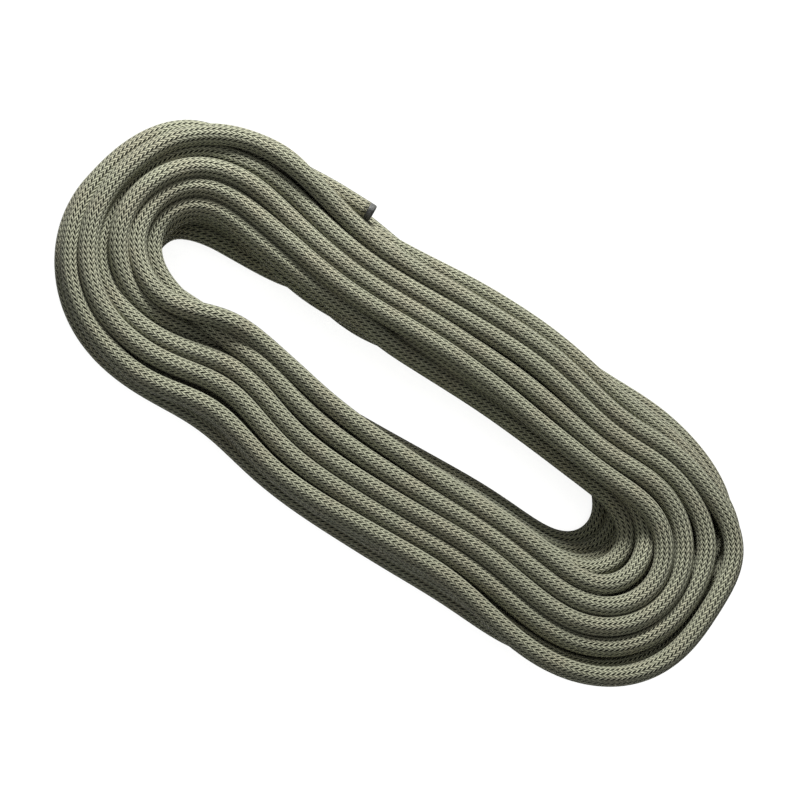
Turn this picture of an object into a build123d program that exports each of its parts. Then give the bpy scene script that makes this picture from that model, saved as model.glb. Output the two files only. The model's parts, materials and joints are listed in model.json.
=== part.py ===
from build123d import *
import math
import os

# A dynamic climbing rope, laid in a flat race-track coil.
# Millimetres. +X runs along the coil, +Y across it, +Z up; the coil rests on Z = 0
# and the origin is the middle of its footprint.
os.makedirs("parts", exist_ok=True)

# ---- driving dimensions -------------------------------------------------------
ROPE_DIAMETER = 9.8
LAYERS = 5                              # turns lie in five layers
LAYER_RISE = 0.93 * ROPE_DIAMETER       # a layer sinks a little into the one below
SHEATH_WALL = 1.02                      # braided sheath, about a third of the rope's mass
CORE_STRAND_DIAMETER = 1.82             # one twisted cord of the core
INNER_STRANDS = 3                       # core cords round the axis
OUTER_PLACES = 9                        # places in the ring outside them, one holds the tape
TAPE_SIZE = (1.6, 0.3)                  # folded identity tape that runs with the core
BASE_ROUNDING = 3.0
FUSED_LENGTH = 3.5                      # melted end of the rope
FUSED_ROUNDING = 0.8
FIT_GAP = 0.03                          # between pieces that lie against each other
TIP_SPACE = 2.0                         # free space in the coil beyond each tip

ROPE_RADIUS = ROPE_DIAMETER / 2
COIL_HEIGHT = (LAYERS - 1) * LAYER_RISE + ROPE_DIAMETER
BORE_RADIUS = ROPE_RADIUS - SHEATH_WALL
OUTER_RING_RADIUS = BORE_RADIUS - CORE_STRAND_DIAMETER / 2 - FIT_GAP
INNER_RING_RADIUS = (CORE_STRAND_DIAMETER + FIT_GAP) / 2 / math.sin(math.pi / INNER_STRANDS)

# ---- outlines of the coil, clockwise from its left end -------------------------
OUTER_OUTLINE = [
    (-186, 0), (-172, 41), (-134, 62.5), (-88, 67), (-46, 67), (0, 71), (32, 72),
    (70, 70), (108, 67.5), (148, 57), (177, 36), (186, 0), (176, -46), (140, -69),
    (104, -67), (66, -66.5), (24, -70.3), (-16, -71.6), (-76, -65.5), (-116, -68.5),
    (-152, -61), (-174, -42),
]
HOLE_AT_TOP = [
    (-140, 0), (-128, 14.5), (-106, 17.5), (-40, 20), (40, 24), (96, 22), (127, 15),
    (139, 1), (130, -14), (100, -20), (40, -19), (-20, -20.5), (-80, -16), (-112, -18),
    (-130, -13),
]
HOLE_AT_BASE = [
    (-141, 0), (-128, 14), (-106, 16.5), (-40, 20.5), (36, 26), (82, 26), (105, 21),
    (114, 12), (105, 2), (82, -3), (36, -9), (-20, -17), (-80, -17), (-112, -18.5),
    (-130, -13),
]

# ---- routes of the two free ends, from the coil to the tip ----------------------
# The top end lies against the far flank, under the last turn; the bottom end lies
# on the ground at the foot of the same flank.
TOP_END_ROUTE = [
    (-132, 56.6, 36.0), (-109.5, 62.8, 35.8), (-86.5, 66.2, 35.3), (-66, 67.6, 35.0),
]
BOTTOM_END_ROUTE = [
    (-34, 60.0, ROPE_RADIUS), (-56, 63.9, ROPE_RADIUS), (-79, 66.8, ROPE_RADIUS),
    (-101, 67.9, ROPE_RADIUS),
]


def corner_radii(route):
    """Radius of each arc: as large as the two runs beside its corner allow."""
    points = [Vector(*point) for point in route]
    radii = []
    for before, corner, after in zip(points, points[1:], points[2:]):
        arriving = corner - before
        leaving = after - corner
        half_turn = math.radians(arriving.get_angle(leaving)) / 2
        shorter_run = min(arriving.length, leaving.length)
        radii.append(0.45 * shorter_run / math.tan(half_turn))
    return radii


def centre_path(route, end_name):
    """Straight runs joined by tangent arcs."""
    radii = corner_radii(route)
    print(end_name, "arc radii, mm:", [round(radius) for radius in radii])
    with BuildLine() as path:
        FilletPolyline(*route, radius=radii)
    return path.wires()[0]


def section_plane(path, position):
    """Plane across the path at a position from 0 to 1, its y axis upright."""
    direction = path.tangent_at(position)
    across = Vector(0, 0, 1).cross(direction)
    return Plane(origin=path.position_at(position), x_dir=across, z_dir=direction)


def ring_places(count, radius, first_angle):
    """Centres of equally spaced cords on a ring round the rope's axis."""
    angles = [first_angle + 2 * math.pi * index / count for index in range(count)]
    return [(radius * math.cos(angle), radius * math.sin(angle)) for angle in angles]


def write_part(part, name):
    part.label = name
    export_step(part, f"parts/{name}.step")
    print(f"{name}: {part.volume:.0f} mm3")


# ---- the coil: one closed solid of its outer shape ------------------------------
top_path = centre_path(TOP_END_ROUTE, "top_end")
bottom_path = centre_path(BOTTOM_END_ROUTE, "bottom_end")

with BuildPart() as rope_coil:
    with BuildSketch(Plane.XY):
        with BuildLine():
            Spline(*OUTER_OUTLINE, periodic=True)
        make_face()
    extrude(amount=COIL_HEIGHT)
    fillet(rope_coil.edges().group_by(Axis.Z)[-1], radius=ROPE_RADIUS)
    fillet(rope_coil.edges().group_by(Axis.Z)[0], radius=BASE_ROUNDING)

    # the hole narrows downwards at the right end, where the lower turns fan out
    with BuildSketch(Plane.XY):
        with BuildLine():
            Spline(*HOLE_AT_BASE, periodic=True)
        make_face()
    with BuildSketch(Plane.XY.offset(COIL_HEIGHT)):
        with BuildLine():
            Spline(*HOLE_AT_TOP, periodic=True)
        make_face()
    loft(ruled=True, mode=Mode.SUBTRACT)

    # groove for the top end, and on past its fused tip
    with BuildSketch(section_plane(top_path, 0)):
        Circle(ROPE_RADIUS + FIT_GAP)
    sweep(path=top_path, mode=Mode.SUBTRACT)
    with BuildSketch(section_plane(top_path, 1)):
        Circle(ROPE_RADIUS + FIT_GAP)
    extrude(amount=FUSED_LENGTH + TIP_SPACE, mode=Mode.SUBTRACT)

    # channel for the bottom end, open to the ground
    with BuildSketch(section_plane(bottom_path, 0)):
        Circle(ROPE_RADIUS + FIT_GAP)
        with Locations((0, -ROPE_RADIUS)):
            Rectangle(ROPE_DIAMETER + 2 * FIT_GAP, ROPE_DIAMETER)
    sweep(path=bottom_path, mode=Mode.SUBTRACT)
    with BuildSketch(section_plane(bottom_path, 1)):
        Circle(ROPE_RADIUS + FIT_GAP)
        with Locations((0, -ROPE_RADIUS)):
            Rectangle(ROPE_DIAMETER + 2 * FIT_GAP, ROPE_DIAMETER)
    extrude(amount=FUSED_LENGTH + TIP_SPACE, mode=Mode.SUBTRACT)

write_part(rope_coil.part, "rope_coil")
box = rope_coil.part.bounding_box()
print("coil box", box.min, box.max)


# ---- the free ends: sheath, core cords, identity tape and fused tip --------------
def make_sheath(path, end_name):
    with BuildPart() as sheath:
        with BuildSketch(section_plane(path, 0)):
            Circle(ROPE_RADIUS)
            Circle(BORE_RADIUS, mode=Mode.SUBTRACT)
        sweep(path=path)
    write_part(sheath.part, f"{end_name}_sheath")
    by_section = math.pi * (ROPE_RADIUS**2 - BORE_RADIUS**2) * path.length
    print(f"{end_name}: {path.length:.1f} mm long, sheath by section {by_section:.0f} mm3")


def make_core_strand(path, end_name, number, place):
    with BuildPart() as strand:
        with BuildSketch(section_plane(path, 0)):
            with Locations(place):
                Circle(CORE_STRAND_DIAMETER / 2)
        sweep(path=path)
    write_part(strand.part, f"{end_name}_core_strand_{number:02d}")


def make_identity_tape(path, end_name, place):
    facing_axis = math.degrees(math.atan2(place[1], place[0])) + 90
    with BuildPart() as tape:
        with BuildSketch(section_plane(path, 0)):
            with Locations(place):
                Rectangle(*TAPE_SIZE, rotation=facing_axis)
        sweep(path=path)
    write_part(tape.part, f"{end_name}_identity_tape")


def make_fused_tip(path, end_name):
    with BuildPart() as fused_tip:
        with BuildSketch(section_plane(path, 1)):
            Circle(ROPE_RADIUS)
        extrude(amount=FUSED_LENGTH)
        tip_direction = Axis(path.position_at(1), path.tangent_at(1))
        outer_face = fused_tip.faces().sort_by(tip_direction)[-1]
        fillet(outer_face.edges(), radius=FUSED_ROUNDING)
    write_part(fused_tip.part, f"{end_name}_fused_tip")


def make_end(path, end_name):
    make_sheath(path, end_name)
    places = ring_places(INNER_STRANDS, INNER_RING_RADIUS, math.pi / 2)
    places += ring_places(OUTER_PLACES, OUTER_RING_RADIUS, math.pi / 2)
    tape_place = places.pop()
    for number, place in enumerate(places, start=1):
        make_core_strand(path, end_name, number, place)
    make_identity_tape(path, end_name, tape_place)
    make_fused_tip(path, end_name)


make_end(top_path, "top_end")
make_end(bottom_path, "bottom_end")
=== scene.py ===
"""A hank of dynamic climbing rope: one braided rope, its two fused ends and the core inside them.

The whole rope is one line. Its turns are planned turn by turn, column by column and layer by
layer. Then turns that lie too close are pushed apart, while the rope stays above the floor,
keeps its length and resists bending. That settles most of the crossings and not all: in places
two turns still overlap by up to a sixth of the diameter. The braid is colour and bump in the
material, on a smooth tube, and the shade in its gaps is painted into the colour.
"""

import json
import math

import bpy
import numpy as np
from mathutils import Matrix, Vector

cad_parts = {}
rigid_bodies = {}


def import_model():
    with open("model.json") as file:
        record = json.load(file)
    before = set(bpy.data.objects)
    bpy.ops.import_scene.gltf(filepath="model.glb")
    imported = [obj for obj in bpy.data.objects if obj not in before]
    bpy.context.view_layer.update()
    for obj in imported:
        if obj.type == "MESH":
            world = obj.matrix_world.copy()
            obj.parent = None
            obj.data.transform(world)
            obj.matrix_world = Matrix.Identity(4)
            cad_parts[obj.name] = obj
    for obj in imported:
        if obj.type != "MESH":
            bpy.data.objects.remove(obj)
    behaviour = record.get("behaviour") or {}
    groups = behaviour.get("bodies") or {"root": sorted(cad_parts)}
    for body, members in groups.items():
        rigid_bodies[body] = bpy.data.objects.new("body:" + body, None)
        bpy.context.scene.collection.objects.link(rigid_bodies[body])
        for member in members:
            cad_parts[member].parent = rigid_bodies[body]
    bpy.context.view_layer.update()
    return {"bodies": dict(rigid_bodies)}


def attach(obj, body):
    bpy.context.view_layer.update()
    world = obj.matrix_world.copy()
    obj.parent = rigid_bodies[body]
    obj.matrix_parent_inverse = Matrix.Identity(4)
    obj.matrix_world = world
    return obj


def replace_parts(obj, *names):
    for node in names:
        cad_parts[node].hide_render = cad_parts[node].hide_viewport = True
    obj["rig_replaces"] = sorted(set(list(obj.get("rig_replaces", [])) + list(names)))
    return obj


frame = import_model()
ROPE_BODY = list(frame["bodies"])[0]

# ---------------------------------------------------------------- sizes, in metres
ROPE_DIAMETER = 0.0098
RADIUS = ROPE_DIAMETER / 2
LAYER_RISE = 0.93 * ROPE_DIAMETER

# The free ends' routes, from the coil to the tip, as in the CAD.
TOP_END_ROUTE = [
    (-0.1320, 0.0566, 0.0360),
    (-0.1095, 0.0628, 0.0358),
    (-0.0865, 0.0662, 0.0353),
    (-0.0660, 0.0676, 0.0350),
]
BOTTOM_END_ROUTE = [
    (-0.0340, 0.0600, 0.0049),
    (-0.0560, 0.0639, 0.0049),
    (-0.0790, 0.0668, 0.0049),
    (-0.1010, 0.0679, 0.0049),
]

# The sheath's braid and the pieces at the ends, as in the CAD where it has them.
BRAID_COLUMNS = 24
PICKS_PER_REPEAT = 24
PICK_LENGTH = 0.0027
ROPE_SIDES = 24
SHEATH_WALL = 0.00102
CORE_STRAND_RADIUS = 0.00091
INNER_STRANDS = 3
OUTER_PLACES = 9
FIT_GAP = 0.00003
OUTER_RING_RADIUS = RADIUS - SHEATH_WALL - CORE_STRAND_RADIUS - FIT_GAP
INNER_RING_RADIUS = (CORE_STRAND_RADIUS + FIT_GAP / 2) / math.sin(math.pi / INNER_STRANDS)
TAPE_SIZE = (0.0016, 0.0003)
END_CORE_LENGTH = 0.067
END_STEP = 0.0005
STRAND_SIDES = 18
STRAND_LAY = 0.011
PLY_DEPTH = 0.2
FUSED_LENGTH = 0.0035
FUSED_WOBBLE = 0.02
FUSED_PITS = 0.00005
FUSED_SEED = 5
FUSED_SIDES = 48
FIRST_PITTED_RING = 6

# ---------------------------------------------------------------- the braid's look
# A yarn's height goes up and down by its sway where it crosses over and under the others.
YARN_SWAY = 0.42
YARN_ROUNDNESS = 0.85
YARN_CRIMP = 0.5
YARN_PLIES = 3
PLY_HEIGHT = 0.03
YARN_RELIEF = 0.0010
YARN_TONE = 0.07
# The gaps beside a yarn, darkened in colour as painted shade: how far from its middle they begin
# and are whole, how far the yarn must be on top for them to show, how strong they are for each
# hand, and their depth. One hand's gaps get stronger painted shade, as light from one side gives.
GAP_EDGES = (0.04, 0.28)
GAP_ENDS = (-0.15, 0.40)
# Painted shade by light direction: the right-hand yarns' gaps get about a third of the left-hand
# ones'.
RIGHT_GAP_AND_SHADE = 0.35
LEFT_GAP_AND_SHADE = 1.0
GAP_DEPTH = 0.35
SHEATH_PICK = (0.53, 0.54, 0.38)
SHEATH_PICK_WARM = (0.535, 0.52, 0.365)
# Near black: painted shade in the braid's gaps, where the yarns dip under each other.
SHEATH_GAP_PAINTED_SHADE = (0.010, 0.0115, 0.003)
FUSED_DARK = (0.03, 0.032, 0.03)
FUSED_PALE = (0.09, 0.092, 0.085)
SHEEN_TINT = (0.85, 0.88, 0.75, 1)
CORE_SHADE = (0.62, 0.61, 0.57)
CORE_WHITE = (0.83, 0.82, 0.78)
TAPE_SHADE = (0.68, 0.69, 0.66)
TAPE_PALE = (0.8, 0.8, 0.76)

# ---------------------------------------------------------------- the winding
# One turn starts at the left end's tip, runs along the upper side, round the right end and back
# along the lower side. A place on it is a fraction of the turn from 0 to 1.
FIRST_TURN_START = 0.12
TURNS = 25
BLOCK_COLUMNS = 5
BLOCK_LAYERS = 4
TOP_LAYER = BLOCK_LAYERS + 1
# A turn of the block keeps its place from here to here, and changes column or layer after.
BLOCK_TURN_FROM = 0.04
BLOCK_TURN_TO = 0.88
TURN_STEP = 0.002
PLAN_SMOOTHING = 9
END_CLEARANCE = 0.02

# The visible turns: (turns before the last one ends, column from the hole outwards, layer).
TOP_TURNS = [
    (-5.80, 0.00, 3.9), (-5.68, 0.00, 4.0), (-5.60, 0.00, 4.1), (-5.50, 0.00, 4.6),
    (-5.42, 0.00, 5.0), (-5.25, 0.00, 5.0), (-5.16, 0.00, 5.0), (-5.14, 0.10, 5.0),
    (-5.12, 0.50, 5.1), (-5.10, 0.90, 5.1), (-5.06, 0.95, 5.1), (-5.00, 0.90, 5.0),
    (-4.90, 0.60, 5.0), (-4.75, 0.30, 5.0), (-4.66, -0.20, 5.0), (-4.60, -0.20, 5.0),
    (-4.54, 0.40, 5.0), (-4.50, 1.00, 5.0),
    (-4.25, 1.05, 5.0), (-4.15, 1.00, 5.0), (-4.13, 0.85, 4.6), (-4.11, 0.20, 4.0),
    (-4.08, -0.10, 4.0), (-4.00, 0.00, 4.3), (-3.90, -0.15, 4.7), (-3.80, -0.50, 4.1),
    (-3.70, -0.70, 3.6), (-3.60, -0.70, 3.6), (-3.50, -0.30, 3.6), (-3.40, 0.00, 3.9),
    (-3.30, 0.00, 4.0), (-3.15, 0.80, 4.0),
    (-3.11, 1.40, 4.3), (-3.06, 1.75, 4.9), (-3.00, 1.75, 5.0), (-2.88, 1.50, 5.0),
    (-2.75, 1.10, 5.0), (-2.62, 0.90, 5.0), (-2.50, 2.00, 5.0), (-2.25, 2.05, 5.0),
    (-2.14, 2.10, 5.0), (-2.07, 2.50, 4.7), (-2.00, 2.50, 4.5), (-1.90, 2.55, 5.0),
    (-1.75, 2.10, 5.0), (-1.62, 2.10, 5.0), (-1.50, 3.00, 4.75), (-1.38, 3.00, 4.6),
    (-1.25, 3.00, 5.0), (-1.14, 3.10, 5.0), (-1.06, 3.30, 5.0), (-1.00, 3.15, 5.1),
    (-0.93, 3.50, 5.15), (-0.85, 3.60, 5.1),
    (-0.75, 3.05, 5.0), (-0.62, 3.00, 5.0), (-0.50, 4.00, 5.0), (-0.39, 4.35, 5.0),
    (-0.32, 3.90, 5.0), (-0.25, 4.00, 5.0), (-0.12, 4.40, 4.9), (0.00, 4.05, 4.8),
    (0.06, 4.20, 4.4),
]

# The loop: two half-circle ends joined by two nearly straight sides.
END_SHARE = 0.094
BEND_REACH = 0.14
LEFT_CENTRE = (-0.1223, 0.0025)
RIGHT_CENTRE_LOW = (0.0990, 0.0123)
RIGHT_CENTRE_TOP = (0.1190, 0.0003)
# Half-width of the hole's inmost turn along each side, from the left end to the right end.
UPPER_INNER = [(0.00, 0.0226), (0.10, 0.0222), (0.26, 0.0226), (0.50, 0.0262), (0.68, 0.0287),
               (0.85, 0.0281), (1.00, 0.0258)]
LOWER_INNER = [(0.00, 0.0228), (0.10, 0.0225), (0.22, 0.0226), (0.38, 0.0263), (0.50, 0.0271),
               (0.72, 0.0262), (0.85, 0.0254), (1.00, 0.0258)]
# Towards the right end the hole is narrower on the ground than at the top, more so on the
# lower side than on the upper, and the lower side's columns lie wider apart there.
SUNK_FROM = 0.3
SUNK_TO = 0.8
LOWER_NARROWER = 0.0045
UPPER_NARROWER = 0.0030
SUNK_WIDER_PITCH = 0.0024
# Distance from column to column.
UPPER_PITCH = 0.0097
LOWER_PITCH = 0.0101
LEFT_PITCH = 0.0085
RIGHT_PITCH_LOW = 0.0140
RIGHT_PITCH_TOP = 0.0094
RIGHT_PITCH_CURVE = 0.7
# The common waves of the sides: (place along the loop, height outwards, half-length).
UPPER_WAVES = [(-0.112, 0.0035, 0.020), (-0.052, -0.0032, 0.022), (0.034, 0.0020, 0.026),
               (0.096, -0.0035, 0.018)]
LOWER_WAVES = [(-0.112, 0.0040, 0.018), (-0.074, -0.0048, 0.017), (-0.022, 0.0020, 0.024),
               (0.068, -0.0030, 0.020)]
# The ends aren't quite half circles: (on the upper side, place along the half turn, height
# outwards, half-length). Columns beyond this one follow them, the outermost one wholly.
SHOULDERS = [(True, 0.045, -0.0032, 0.030), (True, 0.468, 0.0092, 0.015),
             (False, 0.455, 0.0036, 0.024)]
SHOULDERS_BEYOND = 2
# The waves are this strong at the hole's edge, and whole from this column on. On the ground
# they have this share of their height at the top.
WAVES_AT_HOLE = 0.15
FIRST_WHOLE_WAVE = 2
WAVES_ON_GROUND = 0.3

# ---------------------------------------------------------------- pressing the turns together
POINT_STEP = 0.008
CONTACT = 0.91 * ROPE_DIAMETER
ROUNDS = 600
TOP_HOLD = 0.04
BLOCK_HOLD = 0.015
SETTLING = 0.00003
STIFFNESS = 0.04
# How much of its hold a point feels upwards and downwards.
HEIGHT_HOLD_SHARE = 0.25
# Shares of an error that one round mends, in length and between turns that are too close.
LENGTH_FIX = 0.3
PUSH_SHARE = 0.22
LONGEST_PUSH = 0.15 * ROPE_DIAMETER
# Turns this near are watched, except for this many points either way along the rope itself.
PAIR_REACH = 1.75 * ROPE_DIAMETER
PAIRS_EVERY = 12
PAIR_BLOCK = 512
OWN_NEIGHBOURS = 4
TINY = 1e-9

# ---------------------------------------------------------------- camera, floor and light
LENS = 100
SENSOR_WIDTH = 36
VIEW_TILT_BACK = math.radians(17)
VIEW_TILT_SIDE = math.radians(5)
VIEW_ROLL = math.radians(-35)
VIEW_DISTANCE = 1.09
VIEW_TARGET = Vector((0.0005, 0.0014, 0.0235))
FLOOR_HALF_SIZE = 3
FLOOR_COLOUR = (0.9, 0.9, 0.9, 1)
FLOOR_ROUGHNESS = 0.9
KEY_PLACE = (-0.42, 0.66, 0.47)
KEY_SIZE = 0.26
KEY_POWER = 13.2
FLOOR_LIGHT_PLACE = (0.0, 0.0, 2.2)
FLOOR_LIGHT_SIZE = 2.5
FLOOR_LIGHT_POWER = 70
# The sky's strength below and above the horizon, and the heights between which it changes.
SKY_BELOW = 0.06
SKY_ABOVE = 0.26
SKY_CHANGE = (-0.05, 0.25)


def winding_plan():
    """(turn, column, layer) all along the rope: a block of columns first, then the top layer."""
    plan = []
    turn = FIRST_TURN_START
    for place in range(BLOCK_COLUMNS):
        column = BLOCK_COLUMNS - 1 - place
        layers = list(range(1, BLOCK_LAYERS + 1))
        if place % 2:
            layers.reverse()
        if column == 0:
            layers.remove(BLOCK_LAYERS)
        for layer in layers:
            plan.append((turn + BLOCK_TURN_FROM, column, layer))
            plan.append((turn + BLOCK_TURN_TO, column, layer))
            turn += 1
    for turns_left, column, layer in TOP_TURNS:
        plan.append((TURNS + turns_left, column, layer))
    return np.array(plan)


def smoothed(values, width):
    """The columns of values, evened out along their length."""
    reach = 3 * width
    weights = np.exp(-0.5 * (np.arange(-reach, reach + 1) / width) ** 2)
    weights /= weights.sum()
    ends = (np.repeat(values[:1], reach, 0), values, np.repeat(values[-1:], reach, 0))
    long = np.concatenate(ends)
    columns = [np.convolve(long[:, i], weights, "valid") for i in range(values.shape[1])]
    return np.stack(columns, 1)


def eased(value):
    """0 to 1 with a soft start and end."""
    value = np.clip(value, 0, 1)
    return value * value * (3 - 2 * value)


def along(table, place):
    """A listed (place, value) table, read at a place."""
    return np.interp(place, [row[0] for row in table], [row[1] for row in table])


def waves(table, x):
    """The sum of the bumps in a wave table."""
    return sum(height * np.exp(-0.5 * ((x - centre) / width) ** 2) for centre, height, width in table)


def shoulders(half, upper):
    """How much further out than a half circle the ends' quarters reach."""
    out = 0
    for on_upper, middle, height, width in SHOULDERS:
        bump = height * np.exp(-0.5 * ((half - middle) / width) ** 2)
        out = out + np.where(upper == on_upper, bump, 0)
    return out


def loop_points(turn, column, layer):
    """Where the rope's centre is at each turn, column and layer."""
    place = turn % 1.0
    upper = place < 0.5
    half = np.where(upper, place, 1 - place)
    height = (np.clip(layer, 1, TOP_LAYER) - 1) / BLOCK_LAYERS

    from_left = np.clip(half / END_SHARE, 0, 1)
    to_right = np.clip((half - 0.5 + END_SHARE) / END_SHARE, 0, 1)
    angle = math.pi / 2 * (from_left + to_right)
    out_x = -np.cos(angle)
    out_y = np.sin(angle) * np.where(upper, 1, -1)

    side = np.clip((half - END_SHARE) / (0.5 - 2 * END_SHARE), 0, 1)
    right_x = RIGHT_CENTRE_LOW[0] + (RIGHT_CENTRE_TOP[0] - RIGHT_CENTRE_LOW[0]) * height
    right_y = RIGHT_CENTRE_LOW[1] + (RIGHT_CENTRE_TOP[1] - RIGHT_CENTRE_LOW[1]) * height
    middle_x = LEFT_CENTRE[0] + (right_x - LEFT_CENTRE[0]) * side
    middle_y = LEFT_CENTRE[1] + (right_y - LEFT_CENTRE[1]) * side

    inner = np.where(upper, along(UPPER_INNER, side), along(LOWER_INNER, side))
    sunk = (1 - height) * np.clip((side - SUNK_FROM) / (SUNK_TO - SUNK_FROM), 0, 1)
    inner = inner - np.where(upper, UPPER_NARROWER, LOWER_NARROWER) * sunk
    near_right = eased((half - (0.5 - BEND_REACH)) / BEND_REACH)
    near_left = eased((BEND_REACH - half) / BEND_REACH)
    side_pitch = np.where(upper, UPPER_PITCH, LOWER_PITCH + SUNK_WIDER_PITCH * sunk)
    risen = height**RIGHT_PITCH_CURVE
    right_pitch = RIGHT_PITCH_LOW + (RIGHT_PITCH_TOP - RIGHT_PITCH_LOW) * risen
    pitch = (side_pitch * (1 - near_right - near_left) + right_pitch * near_right
             + LEFT_PITCH * near_left)

    wave = np.where(upper, waves(UPPER_WAVES, middle_x), waves(LOWER_WAVES, middle_x))
    strength = np.clip(WAVES_AT_HOLE + (1 - WAVES_AT_HOLE) * column / FIRST_WHOLE_WAVE, 0, 1)
    strength = strength * (WAVES_ON_GROUND + (1 - WAVES_ON_GROUND) * height)
    out = inner + column * pitch + strength * wave * np.abs(out_y)
    beyond = (column - SHOULDERS_BEYOND) / (BLOCK_COLUMNS - 1 - SHOULDERS_BEYOND)
    out = out + shoulders(half, upper) * np.clip(beyond, 0, 1)
    return np.stack([
        middle_x + out * out_x,
        middle_y + out * out_y,
        RADIUS + (layer - 1) * LAYER_RISE,
    ], 1)


def evenly_spaced(points, step):
    """Points a step apart along the line through the given points, and where each lies on it."""
    gaps = np.linalg.norm(np.diff(points, axis=0), axis=1)
    travelled = np.concatenate([[0], np.cumsum(gaps)])
    count = int(round(travelled[-1] / step))
    wanted = np.linspace(0, travelled[-1], count + 1)
    spread = np.stack([np.interp(wanted, travelled, points[:, i]) for i in range(3)], 1)
    return spread, wanted, travelled


def planned_rope():
    """The rope as planned, ends included: points, how firmly each is held, and which are fixed."""
    plan = winding_plan()
    turns = np.arange(FIRST_TURN_START, TURNS + TOP_TURNS[-1][0], TURN_STEP)
    places = np.stack([np.interp(turns, plan[:, 0], plan[:, i]) for i in (1, 2)], 1)
    places = smoothed(places, PLAN_SMOOTHING)
    coil = loop_points(turns, places[:, 0], places[:, 1])
    bottom = np.array(BOTTOM_END_ROUTE[::-1])
    top = np.array(TOP_END_ROUTE)
    start = np.argmax(coil[:, 0] > bottom[-1, 0] + END_CLEARANCE)
    stop = len(coil) - np.argmax(coil[::-1, 0] < top[0, 0] - END_CLEARANCE)
    coil = coil[start:stop]
    turns = turns[start:stop]
    points, wanted, travelled = evenly_spaced(np.concatenate([bottom, coil, top]), POINT_STEP)
    turn_at = np.interp(wanted, travelled[len(bottom):-len(top)], turns)
    hold = np.where(turn_at > TURNS + TOP_TURNS[0][0], TOP_HOLD, BLOCK_HOLD)
    fixed = (wanted <= travelled[len(bottom) - 1]) | (wanted >= travelled[-len(top)])
    return points, hold, fixed


def close_pairs(points, reach):
    """Pairs (point, start of a run) of different turns that are within reach of each other."""
    flat = points.astype(np.float32)
    size = (flat**2).sum(1)
    firsts, seconds = [], []
    for start in range(0, len(points), PAIR_BLOCK):
        part = flat[start:start + PAIR_BLOCK]
        squares = size[start:start + PAIR_BLOCK, None] + size[None, :] - 2 * part @ flat.T
        first, second = np.nonzero(squares < reach * reach)
        first = first + start
        apart = (np.abs(first - second) > OWN_NEIGHBOURS) & (second < len(points) - 1)
        firsts.append(first[apart])
        seconds.append(second[apart])
    return np.concatenate(firsts), np.concatenate(seconds)


def summed(index, values, count):
    """The values added up for each index."""
    return np.stack([np.bincount(index, values[:, i], count) for i in range(3)], 1)


def press_together(points, hold, fixed):
    """The rope near where it was planned, with its turns pushed apart and kept off the floor.
    What overlap the rounds don't settle is left in."""
    count = len(points)
    planned = points.copy()
    rest = np.linalg.norm(np.diff(points, axis=0), axis=1)
    pull = np.stack([hold, hold, HEIGHT_HOLD_SHARE * hold], 1)
    for round_number in range(ROUNDS):
        if round_number % PAIRS_EVERY == 0:
            one, other = close_pairs(points, PAIR_REACH)
        before = points.copy()
        points += pull * (planned - points)
        points[:, 2] -= SETTLING

        bend = points[:-4] - 4 * points[1:-3] + 6 * points[2:-2] - 4 * points[3:-1] + points[4:]
        points[2:-2] -= STIFFNESS * bend

        for first in (0, 1):
            ends = points[first + 1::2]
            starts = points[first::2][:len(ends)]
            run = ends - starts
            length = np.linalg.norm(run, axis=1)
            fix = LENGTH_FIX * (1 - rest[first::2][:len(length)] / length)[:, None] * run
            points[first::2][:len(ends)] += fix
            points[first + 1::2] -= fix

        for _ in range(2):
            start = points[other]
            run = points[other + 1] - start
            share = ((points[one] - start) * run).sum(1) / (run * run).sum(1)
            share = np.clip(share, 0, 1)
            gap = points[one] - start - share[:, None] * run
            distance = np.linalg.norm(gap, axis=1)
            near = distance < CONTACT
            push = (CONTACT - distance[near]) / np.maximum(distance[near], TINY)
            push = PUSH_SHARE * push[:, None] * gap[near]
            part = share[near][:, None]
            moved = (summed(one[near], push, count)
                     - summed(other[near], push * (1 - part), count)
                     - summed(other[near] + 1, push * part, count))
            size = np.linalg.norm(moved, axis=1)
            moved *= np.minimum(1, LONGEST_PUSH / np.maximum(size, TINY))[:, None]
            points += moved
            points[:, 2] = np.maximum(points[:, 2], RADIUS)
        points[fixed] = before[fixed]
    return points


def rope_spline(points):
    """The rope's own line: a smooth spline with the ends' routes and the turns as its points."""
    curve = bpy.data.curves.new("rope_line", "CURVE")
    curve.dimensions = "3D"
    curve.resolution_u = 4
    spline = curve.splines.new("NURBS")
    spline.points.add(len(points) - 1)
    for point, place in zip(spline.points, points):
        point.co = (*place, 1)
    spline.order_u = 3
    spline.use_endpoint_u = True
    line = bpy.data.objects.new("rope_line", curve)
    mesh = bpy.data.meshes.new_from_object(line)
    read = np.empty(3 * len(mesh.vertices))
    mesh.vertices.foreach_get("co", read)
    bpy.data.objects.remove(line)
    bpy.data.curves.remove(curve)
    bpy.data.meshes.remove(mesh)
    return read.reshape(-1, 3)


def frames_along(points):
    """At each point, the way forward and two directions across that turn as little as they can."""
    forward = np.gradient(points, axis=0)
    forward /= np.linalg.norm(forward, axis=1)[:, None]
    across = np.empty_like(points)
    first = np.cross(forward[0], (0, 0, 1))
    across[0] = first / np.linalg.norm(first)
    for i in range(1, len(points)):
        turned = across[i - 1] - forward[i] * across[i - 1].dot(forward[i])
        across[i] = turned / math.sqrt(turned.dot(turned))
    return forward, across, np.cross(forward, across)


def mesh_piece(name, places, quads, ends=()):
    """A smooth piece from points and quads, with larger faces to close its ends."""
    corners = [*quads.tolist(), *ends]
    mesh = bpy.data.meshes.new(name)
    mesh.from_pydata(places.tolist(), [], corners)
    mesh.polygons.foreach_set("use_smooth", np.arange(len(corners)) < len(quads))
    piece = bpy.data.objects.new(name, mesh)
    bpy.context.scene.collection.objects.link(piece)
    return piece


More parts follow.
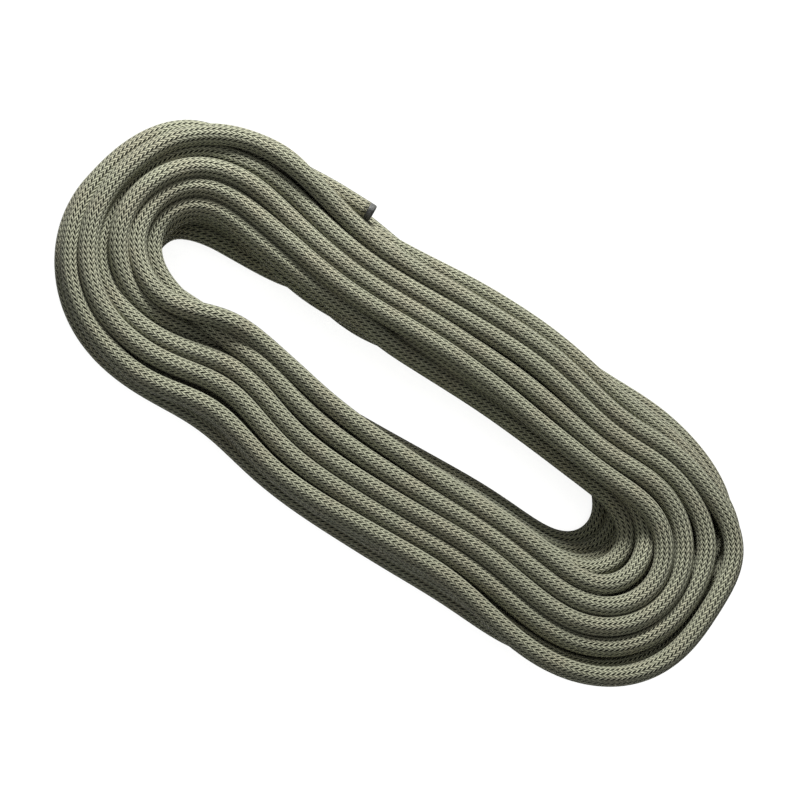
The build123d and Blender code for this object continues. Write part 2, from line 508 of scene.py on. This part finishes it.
def tube(name, points, radius, sides, offset=(0, 0), turn_start=0, twist=0):
    """A closed tube along the points. Its radius may differ from ring to ring and side to side,
    its middle may run beside the points, and it may twist as it goes."""
    forward, across, up = frames_along(points)
    middle = points + offset[0] * across + offset[1] * up
    rings = len(points)
    angles = 2 * math.pi * np.arange(sides) / sides + turn_start
    angles = angles[None, :] + twist * np.arange(rings)[:, None]
    reach = np.broadcast_to(radius, (rings, sides))[..., None]
    ring = np.cos(angles)[..., None] * across[:, None] + np.sin(angles)[..., None] * up[:, None]
    places = (middle[:, None] + reach * ring).reshape(-1, 3)
    index = np.arange(rings * sides).reshape(rings, sides)
    after = np.roll(index, -1, axis=1)
    quads = np.stack([index[:-1], after[:-1], after[1:], index[1:]], -1).reshape(-1, 4)
    ends = [index[0][::-1].tolist(), index[-1].tolist()]
    return mesh_piece(name, places, quads, ends)


def add_braid_maps(piece, rings, sides):
    """The braid map counts columns round the rope and picks along it. The baking map lays one
    whole repeat of the braid over the square, so that the repeats share one picture."""
    columns = BRAID_COLUMNS * np.arange(sides + 1) / sides
    picks = np.arange(rings)
    side, ring = np.meshgrid(np.arange(sides), np.arange(rings - 1))
    corner_sides = np.stack([side, side + 1, side + 1, side], -1)
    corner_rings = np.stack([ring, ring, ring + 1, ring + 1], -1)
    braid = np.stack([columns[corner_sides], picks[corner_rings].astype(float)], -1)
    first_of_repeat = (ring // PICKS_PER_REPEAT * PICKS_PER_REPEAT)[..., None]
    repeat = np.stack([
        corner_sides / sides,
        (corner_rings - first_of_repeat) / PICKS_PER_REPEAT,
    ], -1)
    caps = np.zeros((2 * sides, 2))
    for name, wall in (("Braid", braid), ("OFBake", repeat)):
        layer = piece.data.uv_layers.new(name=name)
        layer.data.foreach_set("uv", np.concatenate([wall.reshape(-1, 2), caps]).ravel())
    piece.data.uv_layers.active = piece.data.uv_layers["Braid"]


# ---------------------------------------------------------------- materials
def new_material(name):
    """A material, its nodes and its main shader."""
    material = bpy.data.materials.new(name)
    material.use_nodes = True
    return material, material.node_tree, material.node_tree.nodes["Principled BSDF"]


def math_node(tree, operation, *values):
    """A Math node on numbers and other nodes' outputs, and its output."""
    node = tree.nodes.new("ShaderNodeMath")
    node.operation = operation
    for socket, value in zip(node.inputs, values):
        if isinstance(value, (int, float)):
            socket.default_value = value
        else:
            tree.links.new(value, socket)
    return node.outputs[0]


def mix_colours(tree, share, low, high, blend="MIX"):
    """A colour between two, each a colour or another node's output."""
    node = tree.nodes.new("ShaderNodeMix")
    node.data_type = "RGBA"
    node.blend_type = blend
    if isinstance(share, (int, float)):
        node.inputs["Factor"].default_value = share
    else:
        tree.links.new(share, node.inputs["Factor"])
    for socket, value in ((node.inputs[6], low), (node.inputs[7], high)):
        if isinstance(value, tuple):
            socket.default_value = (*value, 1)
        else:
            tree.links.new(value, socket)
    return node.outputs[2]


def between(tree, value, low, high, to_low=0.0, to_high=1.0):
    """The value's place between low and high, softly, as a number from to_low to to_high."""
    node = tree.nodes.new("ShaderNodeMapRange")
    node.interpolation_type = "SMOOTHSTEP"
    ends = (("From Min", low), ("From Max", high), ("To Min", to_low), ("To Max", to_high))
    for name, number in ends:
        node.inputs[name].default_value = number
    tree.links.new(value, node.inputs["Value"])
    return node.outputs["Result"]


def noise(tree, scale, detail=2.0):
    """Soft noise through the piece's own space."""
    place = tree.nodes.new("ShaderNodeTexCoord")
    node = tree.nodes.new("ShaderNodeTexNoise")
    node.inputs["Scale"].default_value = scale
    node.inputs["Detail"].default_value = detail
    tree.links.new(place.outputs["Object"], node.inputs["Vector"])
    return node.outputs["Fac"]


def bump(tree, shader, height, depth, strength=1.0):
    """Shades the surface as if it stood depth metres higher where height is 1."""
    node = tree.nodes.new("ShaderNodeBump")
    node.inputs["Strength"].default_value = strength
    node.inputs["Distance"].default_value = depth
    tree.links.new(height, node.inputs["Height"])
    tree.links.new(node.outputs["Normal"], shader.inputs["Normal"])


def yarn(tree, along_yarn, sway, side, gap_shade_share):
    """One set of the braid's yarns: how high each stands, how deep it is in the gap beside
    its neighbour, which also sets the painted shade there, and which yarn it is."""
    number = math_node(tree, "FLOOR", along_yarn)
    across = math_node(tree, "FRACT", along_yarn)
    from_middle = math_node(tree, "MULTIPLY_ADD", across, 2.0, -1.0)
    roundness = math_node(tree, "MULTIPLY", from_middle, from_middle)
    plies = math_node(tree, "MULTIPLY", across, 2 * math.pi * YARN_PLIES)
    filaments = math_node(tree, "SINE", plies)
    crown = math_node(tree, "MULTIPLY_ADD", roundness, -YARN_ROUNDNESS, 0.5)
    crown = math_node(tree, "MULTIPLY_ADD", filaments, PLY_HEIGHT, crown)
    height = math_node(tree, "MULTIPLY_ADD", sway, side * YARN_SWAY, crown)
    beside = between(tree, roundness, *GAP_EDGES)
    on_top = between(tree, math_node(tree, "MULTIPLY", sway, side), *GAP_ENDS, 0.0, gap_shade_share)
    gap = math_node(tree, "MULTIPLY", beside, on_top)
    return height, gap, math_node(tree, "MODULO", number, BRAID_COLUMNS)


def make_sheath_material():
    """A two-over-two braid of 48 yarns, half of each hand, in columns of slanting picks, with painted
    shade darkening the gaps between them.
    """
    material, tree, shader = new_material("sheath_braid")
    map_node = tree.nodes.new("ShaderNodeUVMap")
    map_node.uv_map = "Braid"
    split = tree.nodes.new("ShaderNodeSeparateXYZ")
    tree.links.new(map_node.outputs["UV"], split.inputs[0])
    column, pick = split.outputs[0], split.outputs[1]

    sway = math_node(tree, "SINE", math_node(tree, "MULTIPLY", column, math.pi))
    crimp = math_node(tree, "SINE", math_node(tree, "MULTIPLY", column, 2 * math.pi))
    column = math_node(tree, "MULTIPLY_ADD", crimp, YARN_CRIMP / (2 * math.pi), column)
    right_path = math_node(tree, "SUBTRACT", column, pick)
    left_path = math_node(tree, "ADD", column, pick)
    # Painted shade by light direction: the left-hand yarns' gaps are darkened fully, the right-hand
    # ones about a third as much.
    right_height, right_gap_and_shade, right_number = yarn(tree, right_path, sway, 1, RIGHT_GAP_AND_SHADE)
    left_height, left_gap_and_shade, left_number = yarn(tree, left_path, sway, -1, LEFT_GAP_AND_SHADE)
    # The gap mask sets the gaps' depth, their roughness and their painted shade.
    gap = math_node(tree, "MAXIMUM", right_gap_and_shade, left_gap_and_shade)
    height = math_node(tree, "MAXIMUM", right_height, left_height)
    height = math_node(tree, "MULTIPLY_ADD", gap, -GAP_DEPTH, height)
    right_on_top = math_node(tree, "GREATER_THAN", right_height, left_height)

    tint = tree.nodes.new("ShaderNodeTexWhiteNoise")
    tint.noise_dimensions = "1D"
    number = math_node(tree, "MULTIPLY", right_on_top, right_number)
    left_share = math_node(tree, "SUBTRACT", 1.0, right_on_top)
    shifted = math_node(tree, "ADD", left_number, 2 * BRAID_COLUMNS)
    number = math_node(tree, "MULTIPLY_ADD", left_share, shifted, number)
    tree.links.new(number, tint.inputs["W"])
    yarn_tone = between(tree, tint.outputs["Value"], 0, 1, 1 - YARN_TONE, 1 + YARN_TONE)

    # Painted shade: the colour goes near black in the gaps, where shade falls between the yarns.
    colour = mix_colours(tree, gap, SHEATH_PICK, SHEATH_GAP_PAINTED_SHADE)
    warm = mix_colours(tree, gap, SHEATH_PICK_WARM, SHEATH_GAP_PAINTED_SHADE)
    colour = mix_colours(tree, between(tree, noise(tree, 55, 3), 0.42, 0.66), colour, warm)
    toned = tree.nodes.new("ShaderNodeHueSaturation")
    tree.links.new(colour, toned.inputs["Color"])
    wear = between(tree, noise(tree, 260, 2), 0.3, 0.75, 0.94, 1.07)
    tree.links.new(math_node(tree, "MULTIPLY", yarn_tone, wear), toned.inputs["Value"])
    tree.links.new(toned.outputs["Color"], shader.inputs["Base Color"])

    tree.links.new(between(tree, gap, 0.0, 1.0, 0.62, 0.95), shader.inputs["Roughness"])
    shader.inputs["Specular IOR Level"].default_value = 0.35
    shader.inputs["Sheen Weight"].default_value = 0.12
    shader.inputs["Sheen Roughness"].default_value = 0.45
    shader.inputs["Sheen Tint"].default_value = SHEEN_TINT
    bump(tree, shader, height, YARN_RELIEF)
    return material


def make_fused_material():
    """Nylon that was melted shut with a hot knife: dark, hard and a little glossy."""
    material, tree, shader = new_material("fused_nylon")
    soot = between(tree, noise(tree, 420, 4), 0.35, 0.7)
    tree.links.new(mix_colours(tree, soot, FUSED_DARK, FUSED_PALE), shader.inputs["Base Color"])
    roughness = between(tree, noise(tree, 900, 3), 0.3, 0.7, 0.38, 0.62)
    tree.links.new(roughness, shader.inputs["Roughness"])
    bump(tree, shader, noise(tree, 700, 4), 0.0004)
    return material


def make_core_material():
    """White twisted nylon, faintly uneven along its filaments."""
    material, tree, shader = new_material("core_yarn")
    shade = between(tree, noise(tree, 1500, 3), 0.3, 0.7)
    colour = mix_colours(tree, shade, CORE_SHADE, CORE_WHITE)
    tree.links.new(colour, shader.inputs["Base Color"])
    roughness = between(tree, noise(tree, 2500, 2), 0.3, 0.7, 0.55, 0.75)
    tree.links.new(roughness, shader.inputs["Roughness"])
    shader.inputs["Sheen Weight"].default_value = 0.3
    bump(tree, shader, noise(tree, 4000, 2), 0.00006)
    return material


def make_tape_material():
    """Thin folded plastic film, slightly glossy and creased."""
    material, tree, shader = new_material("tape_film")
    shade = between(tree, noise(tree, 300, 3), 0.35, 0.65)
    colour = mix_colours(tree, shade, TAPE_SHADE, TAPE_PALE)
    tree.links.new(colour, shader.inputs["Base Color"])
    roughness = between(tree, noise(tree, 800, 2), 0.3, 0.7, 0.25, 0.4)
    tree.links.new(roughness, shader.inputs["Roughness"])
    bump(tree, shader, noise(tree, 600, 3), 0.0001)
    return material


# ---------------------------------------------------------------- the rope and its ends
def make_core_strand(name, line, place):
    """Three plies laid round each other: a three-lobed tube that twists as it goes."""
    lobed = np.abs(np.cos(1.5 * 2 * math.pi * np.arange(STRAND_SIDES) / STRAND_SIDES))
    lobes = 1 - PLY_DEPTH * (1 - lobed)
    twist = 2 * math.pi * END_STEP / STRAND_LAY
    return tube(name, line, CORE_STRAND_RADIUS * lobes, STRAND_SIDES, place, twist=twist)


def make_tape(name, line, place):
    """The identity tape, a flat film that runs along with the core."""
    angle = math.atan2(place[1], place[0]) + math.pi / 2
    half_width, half_thickness = TAPE_SIZE[0] / 2, TAPE_SIZE[1] / 2
    corners = np.array([(half_width, half_thickness), (-half_width, half_thickness),
                        (-half_width, -half_thickness), (half_width, -half_thickness)])
    reach = np.hypot(corners[:, 0], corners[:, 1])
    directions = np.arctan2(corners[:, 1], corners[:, 0]) + angle
    forward, across, up = frames_along(line)
    middle = line + place[0] * across + place[1] * up
    ring = np.cos(directions)[:, None] * across[:, None] + np.sin(directions)[:, None] * up[:, None]
    places = (middle[:, None] + reach[:, None] * ring).reshape(-1, 3)
    index = np.arange(len(places)).reshape(-1, 4)
    after = np.roll(index, -1, axis=1)
    quads = np.stack([index[:-1], after[:-1], after[1:], index[1:]], -1).reshape(-1, 4)
    tape = mesh_piece(name, places, quads, [index[0][::-1].tolist(), index[-1].tolist()])
    tape.data.polygons.foreach_set("use_smooth", np.zeros(len(tape.data.polygons), bool))
    return tape


def make_fused_tip(name, start, direction):
    """The melted end: a short collar, a bead of nylon round its edge and a pitted, dished face."""
    profile = [(0.0, 0.985), (0.15, 1.0), (0.45, 0.995), (0.72, 1.0), (0.88, 0.97), (0.96, 0.91),
               (1.0, 0.82), (0.99, 0.7), (0.95, 0.5), (0.93, 0.3), (0.94, 0.12)]
    rng = np.random.default_rng(FUSED_SEED)
    angles = 2 * math.pi * np.arange(FUSED_SIDES) / FUSED_SIDES
    wobble = sum(rng.uniform(-1, 1) * np.cos(order * angles + rng.uniform(0, 2 * math.pi)) / order
                 for order in range(2, 9))
    line = np.array([start + direction * FUSED_LENGTH * step for step, _ in profile])
    across = np.cross(direction, (0, 0, 1))
    across /= np.linalg.norm(across)
    up = np.cross(direction, across)
    share = np.array([radius for _, radius in profile])[:, None]
    towards_face = np.linspace(0, 1, len(profile))[:, None]
    radius = RADIUS * share * (1 + FUSED_WOBBLE * wobble[None, :] * towards_face)
    ring = np.cos(angles)[:, None] * across + np.sin(angles)[:, None] * up
    places = (line[:, None] + radius[..., None] * ring[None]).reshape(-1, 3)
    pits = rng.uniform(-1, 1, len(places)) * FUSED_PITS
    pits[:FIRST_PITTED_RING * FUSED_SIDES] = 0
    places += pits[:, None] * direction
    index = np.arange(len(places)).reshape(-1, FUSED_SIDES)
    after = np.roll(index, -1, axis=1)
    quads = np.stack([index[:-1], after[:-1], after[1:], index[1:]], -1).reshape(-1, 4)
    return mesh_piece(name, places, quads, [index[0][::-1].tolist(), index[-1].tolist()])


def finish_piece(piece, material, node):
    """The piece gets its material, stands for its CAD node and moves with the rope."""
    piece.data.materials.append(material)
    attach(piece, ROPE_BODY)
    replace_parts(piece, node)


def ring_places(count, radius):
    """Places spaced evenly round the rope's middle, the first one on top."""
    angles = [math.pi / 2 + 2 * math.pi * index / count for index in range(count)]
    return [(radius * math.cos(angle), radius * math.sin(angle)) for angle in angles]


def make_end(end_name, line, materials):
    """The core and the fused tip of one end. The line runs along the rope to the tip."""
    places = ring_places(INNER_STRANDS, INNER_RING_RADIUS)
    places += ring_places(OUTER_PLACES, OUTER_RING_RADIUS)
    tape_place = places.pop()
    for number, place in enumerate(places, start=1):
        strand = make_core_strand(f"{end_name}_twisted_strand_{number:02d}", line, place)
        finish_piece(strand, materials["core"], f"{end_name}_core_strand_{number:02d}")
    tape = make_tape(f"{end_name}_film_tape", line, tape_place)
    finish_piece(tape, materials["tape"], f"{end_name}_identity_tape")
    direction = line[-1] - line[-2]
    direction /= np.linalg.norm(direction)
    tip = make_fused_tip(f"{end_name}_melted_tip", line[-1], direction)
    finish_piece(tip, materials["fused"], f"{end_name}_fused_tip")
    return tip


planned, hold, fixed = planned_rope()
pressed = press_together(planned.copy(), hold, fixed)
line = rope_spline(pressed)
centre = evenly_spaced(line, PICK_LENGTH)[0]
rope = tube("rope", centre, RADIUS, ROPE_SIDES)
add_braid_maps(rope, len(centre), ROPE_SIDES)
rope.data.materials.append(make_sheath_material())
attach(rope, ROPE_BODY)
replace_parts(rope, "rope_coil", "top_end_sheath", "bottom_end_sheath")

end_materials = {
    "core": make_core_material(),
    "tape": make_tape_material(),
    "fused": make_fused_material(),
}
fine = evenly_spaced(line, END_STEP)[0]
end_steps = int(END_CORE_LENGTH / END_STEP)
tips = [
    make_end("top_end", fine[-end_steps:], end_materials),
    make_end("bottom_end", fine[:end_steps][::-1], end_materials),
]

# ---------------------------------------------------------------- camera and light
def add_camera():
    """A long lens above the rope, a little tilted and turned."""
    camera = bpy.data.objects.new("camera", bpy.data.cameras.new("camera"))
    camera.data.lens = LENS
    camera.data.sensor_width = SENSOR_WIDTH
    backwards = Vector((-math.tan(VIEW_TILT_SIDE), -math.tan(VIEW_TILT_BACK), 1)).normalized()
    along_x = (Vector((1, 0, 0)) - backwards * backwards.x).normalized()
    along_y = backwards.cross(along_x)
    right = along_x * math.cos(VIEW_ROLL) - along_y * math.sin(VIEW_ROLL)
    up = along_x * math.sin(VIEW_ROLL) + along_y * math.cos(VIEW_ROLL)
    place = VIEW_TARGET + backwards * VIEW_DISTANCE
    rotation = Matrix((right, up, backwards)).transposed().to_4x4()
    camera.matrix_world = Matrix.Translation(place) @ rotation
    bpy.context.scene.collection.objects.link(camera)
    bpy.context.scene.camera = camera


def add_floor():
    """A plain pale floor that throws no light back on the rope."""
    mesh = bpy.data.meshes.new("floor")
    size = FLOOR_HALF_SIZE
    corners = [(-size, -size, 0), (size, -size, 0), (size, size, 0), (-size, size, 0)]
    mesh.from_pydata(corners, [], [(0, 1, 2, 3)])
    floor = bpy.data.objects.new("floor", mesh)
    bpy.context.scene.collection.objects.link(floor)
    material = bpy.data.materials.new("floor")
    material.use_nodes = True
    shader = material.node_tree.nodes["Principled BSDF"]
    shader.inputs["Base Color"].default_value = FLOOR_COLOUR
    shader.inputs["Roughness"].default_value = FLOOR_ROUGHNESS
    mesh.materials.append(material)
    floor.visible_diffuse = False
    return floor


def add_light(name, place, size, power, lit, shading=None):
    """A square soft light aimed at the middle that lights only some objects. Only the shading
    ones cast its shadows, or all if none are named."""
    light = bpy.data.lights.new(name, "AREA")
    light.size = size
    light.energy = power
    lamp = bpy.data.objects.new(name, light)
    lamp.location = place
    lamp.rotation_euler = (-Vector(place)).to_track_quat("-Z", "Y").to_euler()
    bpy.context.scene.collection.objects.link(lamp)
    lamp.light_linking.receiver_collection = collection_of(f"{name}_lights", lit)
    if shading is not None:
        lamp.light_linking.blocker_collection = collection_of(f"{name}_shadows", shading)


def collection_of(name, objects):
    """A collection that holds the objects, for a light to name."""
    collection = bpy.data.collections.new(name)
    for piece in objects:
        collection.objects.link(piece)
    return collection


def add_sky():
    """Soft weak light from all round, strongest from overhead. The camera sees it white."""
    world = bpy.data.worlds.new("studio")
    world.use_nodes = True
    tree = world.node_tree
    place = tree.nodes.new("ShaderNodeTexCoord")
    split = tree.nodes.new("ShaderNodeSeparateXYZ")
    tree.links.new(place.outputs["Generated"], split.inputs[0])
    strength = between(tree, split.outputs[2], *SKY_CHANGE, SKY_BELOW, SKY_ABOVE)
    rays = tree.nodes.new("ShaderNodeLightPath")
    seen = math_node(tree, "MAXIMUM", strength, rays.outputs["Is Camera Ray"])
    tree.links.new(seen, tree.nodes["Background"].inputs["Strength"])
    tree.nodes["Background"].inputs["Color"].default_value = (1, 1, 1, 1)
    bpy.context.scene.world = world


add_camera()
floor = add_floor()
add_sky()
rope_pieces = [piece for piece in bpy.context.scene.objects if "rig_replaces" in piece]
add_light("key", KEY_PLACE, KEY_SIZE, KEY_POWER, rope_pieces)
add_light("floor_light", FLOOR_LIGHT_PLACE, FLOOR_LIGHT_SIZE, FLOOR_LIGHT_POWER, [floor], [floor])
bpy.context.scene.view_settings.view_transform = "Standard"
